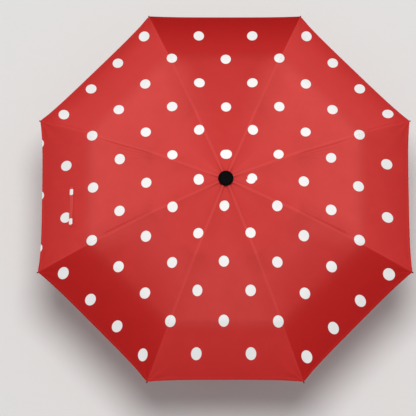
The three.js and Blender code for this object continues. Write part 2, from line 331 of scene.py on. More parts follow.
satin, tree, shader = material_named("satin_black_plastic", (0.010, 0.010, 0.011), 0.34)
shader.inputs["Coat Weight"].default_value = 0.12
shader.inputs["Coat Roughness"].default_value = 0.2
fine = noise(tree, place(tree), 1800.0, 2.0)
smear = noise(tree, place(tree), 120.0, 4.0, 0.6)
two_tone(tree, shader, smear, (0.007, 0.007, 0.008), (0.014, 0.014, 0.015))
tree.links.new(spread(tree, smear, 0.28, 0.44), shader.inputs["Roughness"])
bumped(tree, shader, fine, 0.05, 0.0001)

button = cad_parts["runner_catch"]
button.data.materials.clear()
button.data.materials.append(satin)

# ---------------------------------------------------------------------------
# Ribs and stretchers. The inner and middle ribs are channels folded from strip
# steel and lacquered black, the outer rib is a sprung rod. They turn on small
# steel rivets with domed heads.
RIB_COUNT = 8
INNER_KNEE = (0.1701, 0.456)
OUTER_KNEE = (0.315, 0.387)
TIP = (0.450, 0.295)
KNEE_OFFSET = 0.002

lacquer, tree, shader = material_named("black_lacquer", (0.020, 0.021, 0.023), 0.38)
shader.inputs["Metallic"].default_value = 0.35
shader.inputs["Coat Weight"].default_value = 0.25
shader.inputs["Coat Roughness"].default_value = 0.3
orange_peel = noise(tree, place(tree), 900.0, 2.0)
scuffed = noise(tree, place(tree), 160.0, 5.0, 0.7)
two_tone(tree, shader, scuffed, (0.014, 0.015, 0.017), (0.034, 0.035, 0.038))
tree.links.new(spread(tree, scuffed, 0.30, 0.52), shader.inputs["Roughness"])
bumped(tree, shader, orange_peel, 0.08, 0.0001)

for k in range(1, RIB_COUNT + 1):
    for kind in ("inner_rib", "middle_rib", "outer_rib", "stretcher"):
        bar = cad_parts[f"{kind}_{k}"]
        bar.data.materials.clear()
        bar.data.materials.append(lacquer)


def rib_azimuth(k):
    return math.radians(22.5 + 45.0 * (k - 1))


def in_rib_plane(k, r, z, across=0.0):
    a = rib_azimuth(k)
    return Vector(
        (
            r * math.cos(a) + across * math.sin(a),
            r * math.sin(a) - across * math.cos(a),
            z,
        )
    )


def line_between(a, b):
    dr, dz = b[0] - a[0], b[1] - a[1]
    length = math.hypot(dr, dz)
    return dr / length, dz / length, length


def knee_pivot(before, at, after, offset):
    ar, az, _ = line_between(before, at)
    br, bz, _ = line_between(at, after)
    turn = (math.atan2(az, ar) + math.atan2(bz, br)) / 2
    half = (math.atan2(az, ar) - math.atan2(bz, br)) / 2
    reach = offset / math.cos(half)
    return at[0] - reach * math.sin(turn), at[1] + reach * math.cos(turn)


CROWN_POINT = (CROWN_RING, CROWN_Z)
inner_pivot = knee_pivot(CROWN_POINT, INNER_KNEE, OUTER_KNEE, KNEE_OFFSET)
outer_pivot = knee_pivot(INNER_KNEE, OUTER_KNEE, TIP, -KNEE_OFFSET)
run_r, run_z, _ = line_between(CROWN_POINT, INNER_KNEE)
stretcher_pivot = (
    CROWN_POINT[0] + 0.078 * run_r + 0.001 * run_z,
    CROWN_POINT[1] + 0.078 * run_z - 0.001 * run_r,
)


def rivet(verts, faces, k, pivot, reach, shank):
    """A riveted pin across rib k: a shank with a domed head at each end."""
    profile = [
        (0.0, -reach - 0.00055),
        (shank * 1.2, -reach - 0.00042),
        (shank * 1.9, -reach),
        (shank, -reach + 0.00002),
        (shank, reach - 0.00002),
        (shank * 1.9, reach),
        (shank * 1.2, reach + 0.00042),
        (0.0, reach + 0.00055),
    ]
    points, quads = lathe(profile, 14, closed=False)
    start = len(verts)
    for x, y, across in points:
        verts.append(in_rib_plane(k, pivot[0] + x, pivot[1] + y, across))
    faces.extend([[start + v for v in reversed(q)] for q in quads])


for k in range(1, RIB_COUNT + 1):
    verts, faces = [], []
    rivet(verts, faces, k, inner_pivot, 0.00202, 0.0005)
    rivet(verts, faces, k, stretcher_pivot, 0.00202, 0.0005)
    pins = piece_from(f"inner_rivets_{k}", verts, faces, plated)
    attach(pins, f"inner_rib_{k}")
    verts, faces = [], []
    rivet(verts, faces, k, outer_pivot, 0.00162, 0.0005)
    pins = piece_from(f"outer_rivets_{k}", verts, faces, plated)
    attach(pins, f"middle_rib_{k}")

# ---------------------------------------------------------------------------
# Rib tips. Small black plastic sleeves pressed over the rods, with a flange
# that the cloth's corner is sewn to and a rounded end.
tip_r, tip_z, tip_run = line_between(OUTER_KNEE, TIP)
for k in range(1, RIB_COUNT + 1):
    profile = [
        (0.0014, tip_run - 0.0110),
        (0.0017, tip_run - 0.0108),
        (0.0017, tip_run - 0.0062),
        (0.0020, tip_run - 0.0058),
        (0.0020, tip_run - 0.0046),
        (0.0017, tip_run - 0.0042),
        (0.0017, tip_run - 0.0002),
        (0.0015, tip_run + 0.0010),
        (0.0010, tip_run + 0.0019),
        (0.0, tip_run + 0.0022),
        (0.0, tip_run - 0.0046),
        (0.0014, tip_run - 0.0046),
    ]
    points, quads = lathe(profile, 28)
    verts = []
    for x, y, along in points:
        r = OUTER_KNEE[0] + along * tip_r - y * tip_z
        z = OUTER_KNEE[1] + along * tip_z + y * tip_r
        verts.append(in_rib_plane(k, r, z, x))
    sleeve = piece_from(f"tip_sleeve_{k}", verts, quads, satin, 50.0)
    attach(sleeve, f"outer_rib_{k}")
    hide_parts(f"rib_tip_{k}")

# ---------------------------------------------------------------------------
# Canopy. Eight gores of red polyester pongee printed with white spots, sewn
# together along the ribs and stretched over them. Each gore is cut here down
# its middle and across at the knees, and every part rides on its own rib
# segment.
HOLE = 0.009
HEM_REACH = 0.4490
SECTOR = math.radians(22.5)
CLOTH_THICK = 0.0004
HEM_WIDTH = 0.006

rib_line_r = np.array([0.0, CROWN_POINT[0], INNER_KNEE[0], OUTER_KNEE[0], TIP[0], 0.5])
rib_line_z = np.array(
    [
        CROWN_Z - CROWN_POINT[0] * run_z / run_r,
        CROWN_Z,
        INNER_KNEE[1],
        OUTER_KNEE[1],
        TIP[1],
        TIP[1] + 0.05 * tip_z / tip_r,
    ]
)


def rounded_rib_line(r, soften):
    """The ribs' line, with its bends rounded over soften metres each way."""
    total = 0.0
    steps = np.linspace(-1.0, 1.0, 21)
    weights = 1.0 - np.abs(steps) + 0.02
    for s, w in zip(steps, weights):
        total = total + w * np.interp(r + s * soften, rib_line_r, rib_line_z)
    return total / weights.sum()


def smooth(x, low, high):
    t = np.clip((x - low) / (high - low), 0.0, 1.0)
    return t * t * (3.0 - 2.0 * t)


def hill(x, centre, flat, fall):
    return 1.0 - smooth(np.abs(x - centre), flat, flat + fall)


def cloth_over_rib(r):
    """Height of the cloth on top of a rib: over the crown, the folded channels, the knee, the rod."""
    base = 0.0024 - 0.0004 * smooth(r, 0.322, 0.335) + 0.0006 * smooth(r, 0.422, 0.435)
    over_crown = 0.0022 * hill(r, 0.0, 0.0165, 0.022)
    over_knee = 0.0019 * hill(r, INNER_KNEE[0], 0.0045, 0.045)
    return rounded_rib_line(r, 0.005) + base + over_crown + over_knee


def gore_middle(panel, r):
    """Height of the cloth down a gore's middle: one easy curve to the outer knees, then steeper to the hem."""
    fold = 0.007 if panel == 6 else 0.020
    near_fold = smooth(r, 0.215, 0.275)
    line = rounded_rib_line(r, 0.080) * (1.0 - near_fold) + rounded_rib_line(r, fold) * near_fold
    inner_dip = 0.0062 * np.sin(math.pi * np.clip(r / OUTER_KNEE[0], 0.0, 1.0)) ** 1.2
    outer_dip = 0.0012 * np.sin(math.pi * np.clip((r - OUTER_KNEE[0]) / 0.135, 0.0, 1.0)) ** 2
    return line + 0.0021 - inner_dip - outer_dip


# slack in the two side gores: faint creases that run out from the inner knee.
# Each is (angle off the rib, distance off it, depth, half width, start, end).
SIDE_CREASES = (
    (0.012, 0.0050, 0.0022, 0.0018, 0.180, 0.305),
    (0.095, 0.0078, 0.0010, 0.0020, 0.184, 0.270),
    (0.170, 0.0110, 0.0009, 0.0022, 0.190, 0.262),
    (0.290, 0.0140, 0.0009, 0.0026, 0.178, 0.250),
)


def creases(panel, side, r, d):
    rib = (panel - 1) % 8 + 1 if side < 0 else panel % 8 + 1
    total = 0.0 * r
    if panel in (4, 8):
        stronger = 1.35 if rib in (5, 8) else 0.85
        for turn, off, depth, half, start, end in SIDE_CREASES:
            away = d - off - (r - INNER_KNEE[0]) * turn
            reach = smooth(r, start - 0.008, start + 0.010) * (1.0 - smooth(r, end - 0.030, end))
            total = total - stronger * depth * np.exp(-((away / half) ** 2)) * reach
    if panel in (1, 3) and rib in (1, 4):
        # the seam has rolled a little off the rod here
        bow = 0.0050 * np.sin(math.pi * np.clip((r - 0.322) / 0.128, 0.0, 1.0)) ** 0.8
        away = d - bow
        reach = smooth(r, 0.330, 0.350) * (1.0 - smooth(r, 0.432, 0.445)) * smooth(d, 0.0019, 0.0036)
        total = total - 0.0023 * np.exp(-((away / 0.0021) ** 2)) * reach
    return total


# how far each gore's hem is drawn in; the north one is the slackest and the west one the tightest
HEM_PULL = (0.0046, 0.0021, 0.0046, 0.0068, 0.0046, 0.0042, 0.0046, 0.0050)


def hem_pull(panel, w):
    """The hem is drawn in between two tips, most of it close to them."""
    return HEM_PULL[panel - 1] * (1.0 - np.clip(1.0 - w, 0.0, 1.0) ** 4)


def cloth_at(panel, side, r, w):
    """Points of the cloth: r runs out along the rib, w runs from the rib (0) to the gore's middle (1)."""
    rib = (panel - 1) % 8 + 1 if side < 0 else panel % 8 + 1
    middle = math.radians(45.0 * panel)
    half = r * math.sin(SECTOR)
    n = r * math.cos(SECTOR) - hem_pull(panel, w) * np.clip((r - 0.33) / (HEM_REACH - 0.33), 0.0, 1.0) ** 2
    v = side * (1.0 - w) * half
    d = w * half
    # the cloth lies flat across the rib, then leaves its edge
    flat = 0.0024 - 0.0011 * smooth(r, 0.320, 0.332) + 0.0004 * smooth(r, 0.425, 0.436)
    flat = flat + 0.0006 * hill(r, INNER_KNEE[0], 0.004, 0.006)
    flat = np.minimum(flat, half * 0.5)
    on_rib = flat - np.logaddexp(0.0, (flat - d) / 0.0003) * 0.0003
    ridge = cloth_over_rib(r - on_rib * math.sin(SECTOR))
    off_rib = np.clip((d - on_rib) / np.maximum(half - flat, 1e-4), 0.0, 1.0)
    bow = 1.0 - (1.0 - off_rib) ** 2.0
    z = ridge * (1.0 - bow) + gore_middle(panel, r) * bow
    # fine pleats that fan out of the corner where the cloth is tied to the tip
    corner_n = HEM_REACH * math.cos(SECTOR)
    corner_v = HEM_REACH * math.sin(SECTOR)
    far = np.hypot(corner_n - n, corner_v - np.abs(v)) + 1e-6
    fan = np.arctan2(d, np.sqrt(np.maximum(far * far - d * d, 1e-9)))
    pleat = 0.0013 * np.sin(fan * (10.0 + 1.5 * math.sin(rib * 1.7 + side)) + 0.8 * math.sin(rib * 2.1))
    pleat = pleat * np.exp(-far / 0.045) * smooth(far, 0.0, 0.010) * smooth(d, flat, 0.006)
    # gathers round the crown
    gather = 0.00025 * np.sin((1.0 - w) * 8.0) * smooth(d, 0.0, 0.004) * hill(r, 0.024, 0.006, 0.030)
    # broad unevenness of the stretched cloth
    x = n * math.cos(middle) - v * math.sin(middle)
    y = n * math.sin(middle) + v * math.cos(middle)
    drift = 0.0007 * np.sin(x * 23.0 + 1.3) * np.sin(y * 19.0 + 0.4)
    drift = drift + 0.0004 * np.sin(x * 51.0 + y * 37.0 + 2.0)
    drift = drift * smooth(d, 0.0, 0.05) * smooth(r, 0.03, 0.10) * (1.0 - smooth(r, 0.40, 0.445))
    z = z + creases(panel, side, r, d) + pleat + gather + drift
    return np.stack([x, y, z], -1)


def steps_out(low, high, step, fine=0.0005):
    """Even steps from low to high with one thin row at each end, so that parts meet smoothly."""
    count = max(2, round((high - low - 2 * fine) / step))
    return np.concatenate([[low], np.linspace(low + fine, high - fine, count + 1), [high]])


BESIDE_RIB = 0.001 * np.array(
    [0.0, 0.8, 1.4, 1.9, 2.4, 3.0, 3.8, 4.9, 6.0, 7.1, 8.2, 9.3, 10.5, 11.8, 13.2, 14.8, 16.6, 18.6, 21.0]
)


def steps_across(rs, r_high, step):
    """Shares of the half gore's width at each r: close together beside the rib, even beyond."""
    count = max(4, round(r_high * math.sin(SECTOR) / step))
    rows = []
    for r in rs:
        half = r * math.sin(SECTOR)
        beside = BESIDE_RIB * min(1.0, half / 0.030)
        even = np.linspace(beside[-1], half - 0.0005, count + 1)[1:]
        rows.append(np.concatenate([beside, even, [half]]) / half)
    return np.array(rows)


def cloth_face(panel, side, r, w):
    """The printed face of the cloth, the way it faces, and how much the turned hem adds to its thickness."""
    top = cloth_at(panel, side, r, w)
    h = 1e-4
    across = cloth_at(panel, side, r, w + h) - cloth_at(panel, side, r, w - h)
    out = cloth_at(panel, side, r + h, w) - cloth_at(panel, side, r - h, w)
    normal = np.cross(out, across)
    normal /= np.linalg.norm(normal, axis=-1, keepdims=True)
    normal *= np.sign(normal[..., 2:3])
    hem = 0.00045 * smooth(r, HEM_REACH - HEM_WIDTH - 0.0004, HEM_REACH - HEM_WIDTH + 0.0002)
    return top + normal * (hem * 0.55)[..., None], normal, hem


def square_to_rib(r, w):
    """The parts part at the knees along lines square to the rib, so that the cloth folds where the rib does."""
    slant = w * math.sin(SECTOR) ** 2
    slant = slant / (1.0 - slant)
    return r + slant * np.interp(r, (HOLE, INNER_KNEE[0], OUTER_KNEE[0], 0.42), (0.0, INNER_KNEE[0], OUTER_KNEE[0], 0.0))


def cloth_patch(panel, side, r_low, r_high, step, extra_rows=()):
    """A doubled sheet: the printed face, the underside, and the edge between them."""
    rs = np.unique(np.concatenate([steps_out(r_low, r_high, step), extra_rows]))
    ww = steps_across(rs, r_high, step)
    rr = square_to_rib(np.repeat(rs[:, None], ww.shape[1], 1), ww)
    top, normal, hem = cloth_face(panel, side, rr, ww)
    under = top - normal * (CLOTH_THICK + hem)[..., None]
    a, b = rr.shape
    verts = np.concatenate([top.reshape(-1, 3), under.reshape(-1, 3)])
    index = np.arange(a * b).reshape(a, b)
    quads = np.stack([index[:-1, :-1], index[1:, :-1], index[1:, 1:], index[:-1, 1:]], -1).reshape(-1, 4)
    if side > 0:
        quads = quads[:, ::-1]
    faces = [tuple(q) for q in quads] + [tuple(q[::-1] + a * b) for q in quads]
    rim = [*index[0, :], *index[1:, -1], *index[-1, ::-1][1:], *index[::-1, 0][1:-1]]
    for i, p in enumerate(rim):
        q = rim[(i + 1) % len(rim)]
        edge = (p, q, q + a * b, p + a * b)
        faces.append(edge if side < 0 else edge[::-1])
    p = top
    area = np.linalg.norm(np.cross(p[1:, :-1] - p[:-1, :-1], p[:-1, 1:] - p[:-1, :-1]), axis=-1).sum() / 2
    area += np.linalg.norm(np.cross(p[1:, :-1] - p[1:, 1:], p[:-1, 1:] - p[1:, 1:]), axis=-1).sum() / 2
    return verts, faces, float(area)


# the print: spots on a diagonal grid, stretched toward the hem, each gore's a little off its neighbours'
SPOT_STEP = 0.05594
SPOT_RADIUS = 0.01075
# how far each gore's print lies off the crown, and how much the print is stretched toward the hem
GORE_PRINT = np.array(
    [
        (0.0037, 0.0022, 0.452),
        (0.0013, -0.0014, 0.542),
        (-0.0025, 0.0024, 0.432),
        (-0.0017, 0.0013, 0.338),
        (-0.0012, -0.0007, 0.379),
        (-0.0039, -0.0001, 0.492),
        (-0.0030, 0.0007, 0.495),
        (-0.0014, 0.0042, 0.540),
    ]
)
# painted light and shade for each gore at these distances from the crown: above 1 is painted lighter, below 1 painted
# darker
PAINTED_SHADE_AT = (0.10, 0.20, 0.27, 0.33, 0.37, 0.41)
GORE_PAINTED_SHADE = (
    (0.990, 1.050, 1.100, 1.095, 1.055, 0.940),
    (0.920, 0.930, 0.905, 0.850, 0.760, 0.670),
    (0.990, 1.050, 1.105, 1.095, 1.060, 0.930),
    (0.985, 1.065, 1.095, 1.050, 1.010, 0.960),
    (0.955, 0.980, 0.900, 0.835, 0.795, 0.780),
    (0.955, 1.000, 0.985, 0.985, 0.965, 0.930),
    (0.950, 0.975, 0.900, 0.835, 0.795, 0.780),
    (0.985, 1.065, 1.095, 1.040, 1.005, 0.960),
)


def pongee(name, ground, deep, spot_step=0.0, spot_radius=0.0):
    """Plain-weave polyester: fine crossed threads, a soft sheen, white spots printed on it."""
    material, tree, shader = material_named(name, ground, 0.62)
    shader.inputs["Sheen Weight"].default_value = 0.035
    shader.inputs["Sheen Roughness"].default_value = 0.45
    shader.inputs["Sheen Tint"].default_value = (1.0, 0.72, 0.68, 1.0)
    shader.inputs["Specular IOR Level"].default_value = 0.07
    flat = node(tree, "ShaderNodeUVMap", uv_map="cut")
    metres = node(tree, "ShaderNodeVectorMath", operation="SUBTRACT")
    metres.inputs[1].default_value = (0.5, 0.5, 0.0)
    tree.links.new(flat.outputs["UV"], metres.inputs[0])
    plane = metres.outputs["Vector"]
    mottle = noise(tree, plane, 26.0, 4.0, 0.55)
    cloth = node(tree, "ShaderNodeValToRGB")
    cloth.color_ramp.elements[0].position = 0.30
    cloth.color_ramp.elements[0].color = (*deep, 1.0)
    cloth.color_ramp.elements[1].position = 0.70
    cloth.color_ramp.elements[1].color = (*ground, 1.0)
    tree.links.new(mottle, cloth.inputs["Fac"])
    # the cloth's red is multiplied by each point's tone and painted light and shade
    depth = node(tree, "ShaderNodeAttribute", attribute_name="tone_and_painted_shade")
    painted_shade_cloth = node(tree, "ShaderNodeVectorMath", operation="MULTIPLY")
    tree.links.new(cloth.outputs["Color"], painted_shade_cloth.inputs[0])
    tree.links.new(depth.outputs["Vector"], painted_shade_cloth.inputs[1])
    colour = painted_shade_cloth.outputs["Vector"]
    if spot_step:
        cells = []
        for direction in ((1.0, 1.0, 0.0), (1.0, -1.0, 0.0)):
            turned = node(tree, "ShaderNodeVectorMath", operation="DOT_PRODUCT")
            turned.inputs[1].default_value = tuple(c / (2 * spot_step) for c in direction)
            tree.links.new(plane, turned.inputs[0])
            part = node(tree, "ShaderNodeMath", operation="FRACT")
            tree.links.new(turned.outputs["Value"], part.inputs[0])
            centred = node(tree, "ShaderNodeMath", operation="SUBTRACT")
            centred.inputs[1].default_value = 0.5
            tree.links.new(part.outputs[0], centred.inputs[0])
            cells.append(centred.outputs[0])
        both = node(tree, "ShaderNodeCombineXYZ")
        tree.links.new(cells[0], both.inputs["X"])
        tree.links.new(cells[1], both.inputs["Y"])
        far = node(tree, "ShaderNodeVectorMath", operation="LENGTH")
        tree.links.new(both.outputs["Vector"], far.inputs[0])
        printed = node(tree, "ShaderNodeMapRange", interpolation_type="SMOOTHSTEP")
        edge = spot_radius / (spot_step * math.sqrt(2.0))
        printed.inputs["From Min"].default_value = edge + 0.004
        printed.inputs["From Max"].default_value = edge - 0.004
        tree.links.new(far.outputs["Value"], printed.inputs["Value"])
        ink = node(tree, "ShaderNodeValToRGB")
        ink.color_ramp.elements[0].color = (0.86, 0.855, 0.85, 1.0)
        ink.color_ramp.elements[1].color = (0.93, 0.93, 0.925, 1.0)
        tree.links.new(mottle, ink.inputs["Fac"])
        mix = node(tree, "ShaderNodeMix", data_type="RGBA")
        tree.links.new(printed.outputs["Result"], mix.inputs["Factor"])
        tree.links.new(colour, mix.inputs["A"])
        tree.links.new(ink.outputs["Color"], mix.inputs["B"])
        colour = mix.outputs["Result"]
    tree.links.new(colour, shader.inputs["Base Color"])
    threads = []
    for direction in ("X", "Y"):
        wave = node(tree, "ShaderNodeTexWave", wave_type="BANDS", bands_direction=direction)
        wave.inputs["Scale"].default_value = 420.0
        wave.inputs["Distortion"].default_value = 0.6
        wave.inputs["Detail"].default_value = 1.0
        tree.links.new(plane, wave.inputs["Vector"])
        threads.append(wave.outputs["Fac"])
    weave = node(tree, "ShaderNodeMath", operation="MULTIPLY")
    tree.links.new(threads[0], weave.inputs[0])
    tree.links.new(threads[1], weave.inputs[1])
    bumped(tree, shader, weave.outputs[0], 0.18, 0.00015)
    tree.links.new(spread(tree, mottle, 0.58, 0.70), shader.inputs["Roughness"])
    return material


red_pongee = pongee("red_spotted_pongee", (0.604, 0.0545, 0.0495), (0.574, 0.0505, 0.0455), SPOT_STEP, SPOT_RADIUS)


def points_of(mesh):
    co = np.empty(len(mesh.vertices) * 3, np.float32)
    mesh.vertices.foreach_get("co", co)
    return co.reshape(-1, 3)


def across_gore(co, panel):
    """How far points lie out along the gore's middle, and how far off its rib."""
    middle = math.radians(45.0 * panel)
    out = co[:, 0] * math.cos(middle) + co[:, 1] * math.sin(middle)
    beside = np.abs(co[:, 1] * math.cos(middle) - co[:, 0] * math.sin(middle))
    return out, (out * math.tan(SECTOR) - beside) * math.cos(SECTOR)


def lay_print(piece, panel, side):
    """Gives the piece a map named cut: where its points were on the printed cloth, in metres. Gores meet in step at a seam."""
    mesh = piece.data
    co = points_of(mesh)
    off_rib = across_gore(co, panel)[1]
    in_step = 0.5 * (1.0 - smooth(off_rib, 0.011, 0.046))[:, None]
    own, other = GORE_PRINT[panel - 1], GORE_PRINT[(panel - 1 + side) % 8]
    laid = own + (other - own) * in_step
    reach = np.hypot(co[:, 0], co[:, 1])
    plane = (co[:, :2] - laid[:, :2]) / (1.0 + laid[:, 2] * reach * reach)[:, None] + 0.5
    loops = np.empty(len(mesh.loops), np.int32)
    mesh.loops.foreach_get("vertex_index", loops)
    layer = mesh.uv_layers.new(name="cut")
    layer.uv.foreach_set("vector", plane[loops].astype(np.float32).ravel())


def tone_and_painted_shade(piece, panel, side):
    """Gives each point its painted light and shade: each gore is painted lighter or darker by its distance from the
    crown, blending toward its neighbour's at a seam, with a painted highlight on the cloth over each rib.
    """
    mesh = piece.data
    co = points_of(mesh)
    out, off_rib = across_gore(co, panel)
    tone = np.interp(out, PAINTED_SHADE_AT, GORE_PAINTED_SHADE[panel - 1])
    next_tone = np.interp(out, PAINTED_SHADE_AT, GORE_PAINTED_SHADE[(panel - 1 + side) % 8])
    near_seam = (1.0 - smooth(off_rib, 0.0, 0.045)) * (1.0 - smooth(out, 0.250, 0.330))
    tone = tone + (next_tone - tone) * 0.5 * near_seam
    # painted highlight: the strip of cloth on top of each rib is painted paler, less so toward the outer knees
    tone = tone * (1.0 + (0.055 - 0.03 * smooth(out, 0.27, 0.30)) * (1.0 - smooth(off_rib, 0.0019, 0.0035)))
    colour = np.ones((len(co), 4), np.float32)
    colour[:, 0] = tone
    # painted shade: past the outer knees, where the cloth hangs steeper, green and blue are painted down so the red
    # reads deeper and darker
    hem_side = smooth(out, 0.285, 0.318)
    painted_shade_green_blue = (1.0 - 0.34 * hem_side) * np.where(tone < 1.0, tone**4.2, tone ** (2.0 + 1.5 * hem_side))
    colour[:, 1:3] = painted_shade_green_blue[:, None]
    layer = mesh.attributes.new(name="tone_and_painted_shade", type="FLOAT_COLOR", domain="POINT")
    layer.data.foreach_set("color", colour.ravel())


def fold_axis(panel, side, low, high):
    """The rib that the part hangs on, the direction in the cloth square to the rib's line, and a point of the line."""
    rib = (panel - 1) % 8 + 1 if side < 0 else panel % 8 + 1
    start = in_rib_plane(rib, *low)
    end = in_rib_plane(rib, *high)
    along = (end - start).normalized()
    middle = math.radians(45.0 * panel)
    inward = Vector((-math.sin(middle), math.cos(middle), 0.0)) * -side
    across = inward - along * inward.dot(along)
    return rib, tuple(across.normalized()), tuple(start)


CLOTH_PARTS = (
    ("inner", HOLE, INNER_KNEE[0], CROWN_POINT, INNER_KNEE, 0.0042, 0.075),
    ("middle", INNER_KNEE[0], OUTER_KNEE[0], INNER_KNEE, OUTER_KNEE, 0.0036, 0.052),
    ("outer", OUTER_KNEE[0], HEM_REACH, OUTER_KNEE, TIP, 0.0036, 0.046),
)
HEM_ROWS = HEM_REACH - HEM_WIDTH + np.array([-0.0006, -0.0003, 0.0, 0.0003])
for panel in range(1, 9):
    for side, half in ((-1, "a"), (1, "b")):
        for part, low, high, line_low, line_high, step, keep in CLOTH_PARTS:
            rows = HEM_ROWS if part == "outer" else ()
            verts, faces, area = cloth_patch(panel, side, low, high, step, rows)
            name = f"gore_{panel}{half}_{part}"
            gore = piece_from(name, verts, faces, red_pongee, 50.0)
            lay_print(gore, panel, side)
            tone_and_painted_shade(gore, panel, side)
            rib, across, anchor = fold_axis(panel, side, line_low, line_high)
            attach(gore, f"{part}_rib_{rib}")
            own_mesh(gore)
            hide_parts(f"canopy_panel_{panel}")
            width = min(high * math.tan(SECTOR), HEM_REACH * math.sin(SECTOR)) * 1.02

# ---------------------------------------------------------------------------
# Sewing. The seams over the ribs and the hems are topstitched with red thread,
# one line along each seam and one along each hem, about eight stitches to the
# inch.
STITCH = 0.0024
STITCH_PITCH = 0.0031

thread, tree, shader = material_named("red_thread", (0.46, 0.030, 0.028), 0.5)
shader.inputs["Sheen Weight"].default_value = 0.1
shader.inputs["Specular IOR Level"].default_value = 0.3
twist = node(tree, "ShaderNodeTexWave", wave_type="BANDS", bands_direction="DIAGONAL")
twist.inputs["Scale"].default_value = 900.0
tree.links.new(place(tree), twist.inputs["Vector"])
two_tone(tree, shader, twist.outputs["Fac"], (0.34, 0.018, 0.018), (0.56, 0.042, 0.038))
bumped(tree, shader, twist.outputs["Fac"], 0.4, 0.0001)


def stitches(panel, side, rs, ws):
    """One short raised thread for each pair of points (start, end) given as r and w on the cloth."""
    rs, ws = np.array(rs), np.array(ws)
    points, normals, _ = cloth_face(panel, side, rs, ws)
    verts, faces = [], []
    for start, end, up in zip(points[:, 0], points[:, 1], normals[:, 0]):
        along = end - start
        across = np.cross(up, along / np.linalg.norm(along)) * 0.00021
        lift = up * 0.00020
        base = len(verts)
        verts.append(start - lift * 0.4)
        for share in (0.2, 0.8):
            p = start + along * share
            verts += [p + across - lift * 0.2, p + lift, p - across - lift * 0.2]
        verts.append(end - lift * 0.4)
        local = [(0, 1, 2), (0, 2, 3), (0, 3, 1), (7, 5, 4), (7, 6, 5), (7, 4, 6)]
        local += [(1, 4, 5, 2), (2, 5, 6, 3), (3, 6, 4, 1)]
        faces += [tuple(base + v for v in f) for f in local]
    return verts, faces


def sew(name, panel, side, part, low, high, pairs):
    verts, faces = stitches(panel, side, [[a[0], b[0]] for a, b in pairs], [[a[1], b[1]] for a, b in pairs])
    row = piece_from(name, verts, faces, thread, 70.0)
    rib, across, anchor = fold_axis(panel, side, low, high)
    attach(row, f"{part}_rib_{rib}")
    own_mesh(row)


for panel in range(1, 9):
    for side, half in ((-1, "a"), (1, "b")):
        for part, low, high, line_low, line_high, step, keep in CLOTH_PARTS:
            pairs = []
            if side > 0:
                beside = 0.0013
                r = max(low, 0.020) + 0.001
                while r + STITCH < min(high, HEM_REACH - 0.004):
                    end = r + STITCH * 0.93
                    pairs.append(
                        (
                            (r, beside / (r * math.sin(SECTOR))),
                            (end, beside / (end * math.sin(SECTOR))),
                        )
                    )
                    r += STITCH_PITCH * 0.93
            if part == "outer":
                r = HEM_REACH - HEM_WIDTH + 0.0012
                along = 0.004
                width = r * math.sin(SECTOR)
                while along + STITCH < width:
                    pairs.append(((r, along / width), (r, (along + STITCH) / width)))
                    along += STITCH_PITCH
            if pairs:
                sew(f"stitches_{panel}{half}_{part}", panel, side, part, line_low, line_high, pairs)

# ---------------------------------------------------------------------------
# Ties. Narrow loops of red tape, sewn to the seams, hold the cloth to each rib:
# one round the inner rib, one round the middle rib and one round the rod.
tape, tree, shader = material_named("red_tape", (0.42, 0.026, 0.024), 0.7)
shader.inputs["Sheen Weight"].default_value = 0.15
ribbed = node(tree, "ShaderNodeTexWave", wave_type="BANDS", bands_direction="Z")
ribbed.inputs["Scale"].default_value = 500.0
ribbed.inputs["Distortion"].default_value = 0.5
tree.links.new(place(tree), ribbed.inputs["Vector"])
two_tone(tree, shader, ribbed.outputs["Fac"], (0.32, 0.016, 0.016), (0.48, 0.032, 0.030))
bumped(tree, shader, ribbed.outputs["Fac"], 0.35, 0.00015)


def tie(name, k, low, high, share, half_width, below, above, body):
    run_out, run_up, run = line_between(low, high)
    centre = run * share
    verts, faces = [], []
    around = 28
    for i in range(around):
        a = 2 * math.pi * i / around
        c, s = math.cos(a), math.sin(a)
        x = math.copysign(abs(c) ** 0.45, c)
        y = math.copysign(abs(s) ** 0.45, s)
        for along, thick in ((-0.0017, 0.0), (0.0017, 0.0), (0.0017, 0.0003), (-0.0017, 0.0003)):
            across = x * (half_width + thick)
            up = (above + below) / 2 + y * ((above - below) / 2 + thick)
            r = low[0] + (centre + along) * run_out - up * run_up
            z = low[1] + (centre + along) * run_up + up * run_out
            verts.append(in_rib_plane(k, r, z, across))
    for i in range(around):
        j = (i + 1) % around
        for c in range(4):
            d = (c + 1) % 4
            faces.append((4 * i + c, 4 * i + d, 4 * j + d, 4 * j + c))
    loop = piece_from(name, verts, faces, tape, 50.0)
    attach(loop, body)


for k in range(1, RIB_COUNT + 1):
    tie(f"tie_inner_{k}", k, CROWN_POINT, INNER_KNEE, 0.72, 0.00208, -0.00188, 0.00164, f"inner_rib_{k}")
    tie(f"tie_middle_{k}", k, INNER_KNEE, OUTER_KNEE, 0.55, 0.00168, -0.00158, 0.00160, f"middle_rib_{k}")
    tie(f"tie_outer_{k}", k, OUTER_KNEE, TIP, 0.45, 0.00130, -0.00130, 0.00122, f"outer_rib_{k}")

# ---------------------------------------------------------------------------
# Strap. A flat band of the same cloth, doubled and topstitched, sewn by its
# upper end to the left gore near the hem. It wraps round the closed umbrella.
STRAP_X = -0.3385
STRAP_TOP = 0.010
STRAP_END = -0.079
STRAP_HALF = 0.0038
STRAP_SPOTS = (-0.0018, -0.0678)


def gore_point(panel, x, y):
    """The cloth's face above a place in a gore: solves for r, then reads the height."""
    middle = math.radians(45.0 * panel)
    n = x * math.cos(middle) + y * math.sin(middle)
    v = -x * math.sin(middle) + y * math.cos(middle)
    side = -1 if v < 0 else 1
    r = n / math.cos(SECTOR)
    for _ in range(6):
        w = 1.0 - abs(v) / (r * math.sin(SECTOR))
        p, normal, _ = cloth_face(panel, side, np.array(r), np.array(w))
        r += (n - (p[0] * math.cos(middle) + p[1] * math.sin(middle))) / math.cos(SECTOR)
    return p, normal


